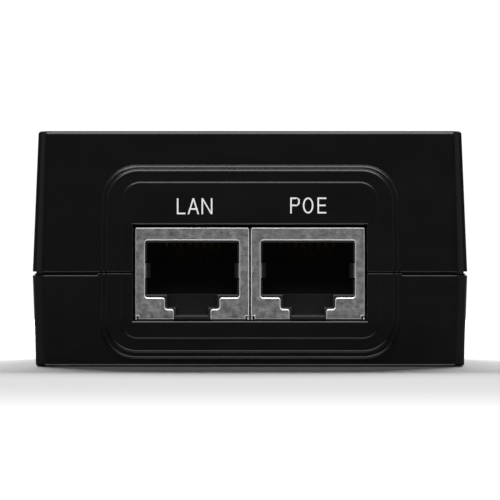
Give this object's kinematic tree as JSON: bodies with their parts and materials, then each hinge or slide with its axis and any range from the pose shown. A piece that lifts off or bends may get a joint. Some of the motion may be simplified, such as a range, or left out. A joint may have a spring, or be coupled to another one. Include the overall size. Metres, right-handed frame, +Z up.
{
  "type": "poe injector",
  "caption": "Brick-shaped Power-over-Ethernet injector with side-by-side shielded network sockets in a raised front panel and a mains inlet at the rear.",
  "frame": {"origin": "on the resting plane, under the middle of the case", "axes": "-Y out of the face with the network sockets, +Y out of the mains inlet, +X to the right when facing the sockets, +Z up"},
  "size_m": [0.0574, 0.1, 0.0311],
  "materials": {
    "case_plastic": "satin black moulded, fine texture",
    "socket_plastic": "matte black moulded",
    "shield_steel": "tin-plated, satin",
    "contact_gold": "gold-plated",
    "tinned_pins": "bright tin",
    "board_laminate": "green solder mask",
    "film": "translucent film",
    "screw_steel": "zinc-plated",
    "foot_rubber": "matte",
    "clear_plastic": "clear",
    "label_paper": "matte",
    "print_ink": "matte ink",
    "component_black": "matte epoxy",
    "component_blue": "lacquered",
    "component_yellow": "moulded box",
    "component_green": "lacquered",
    "ferrite": "sintered",
    "copper_wire": "enamelled copper",
    "winding_tape": "polyester tape",
    "can_sleeve": "shrink sleeve",
    "sink_aluminium": "mill finish",
    "chip_ceramic": "sintered"
  },
  "bodies": {
    "case": {"top_housing": "case_plastic", "bottom_housing": "case_plastic", "lan_jack_shield": "shield_steel", "lan_jack_housing": "socket_plastic", "lan_contact_tails": "contact_gold", "poe_jack_shield": "shield_steel", "poe_jack_housing": "socket_plastic", "poe_contact_tails": "contact_gold", "mains_inlet_housing": "socket_plastic", "mains_inlet_pins": "tinned_pins", "main_pcb": "board_laminate", "insulation_sheet": "film", "housing_screws": "screw_steel", "rubber_feet": "foot_rubber", "status_led": "clear_plastic", "light_pipe": "clear_plastic", "rating_label": "label_paper", "port_labels": "print_ink", "fuse": "component_black", "varistor": "component_blue", "inrush_thermistor": "component_green", "x_capacitor": "component_yellow", "bridge_rectifier": "component_black", "choke_core": "ferrite", "choke_windings": "copper_wire", "choke_base": "component_black", "bulk_capacitor": "can_sleeve", "transformer_core": "ferrite", "transformer_bobbin": "component_black", "transformer_winding": "copper_wire", "transformer_tape": "winding_tape", "transistor_heatsink": "sink_aluminium", "switching_transistor": "component_black", "diode_heatsink": "sink_aluminium", "output_diode": "component_black", "y_capacitor": "component_blue", "output_capacitors": "can_sleeve", "output_choke_core": "component_green", "output_choke_winding": "copper_wire", "data_magnetics": "component_black", "optocoupler": "component_black", "control_ic": "component_black", "surge_protectors": "component_black", "chip_resistors": "chip_ceramic", "chip_capacitors": "chip_ceramic"},
    "lan_contacts": {"lan_contact_springs": "contact_gold"},
    "poe_contacts": {"poe_contact_springs": "contact_gold"}
  },
  "joints": [
    {"name": "lan_contacts_flex", "type": "hinge", "parent": "case", "child": "lan_contacts", "pos_m": [-0.00762, -0.04632, 0.01685], "axis": [1, 0, 0], "range_deg": [0, 10], "stiffness_Nm_per_rad": 0.35},
    {"name": "poe_contacts_flex", "type": "hinge", "parent": "case", "child": "poe_contacts", "pos_m": [0.00762, -0.04632, 0.01685], "axis": [1, 0, 0], "range_deg": [0, 10], "stiffness_Nm_per_rad": 0.35}
  ]
}
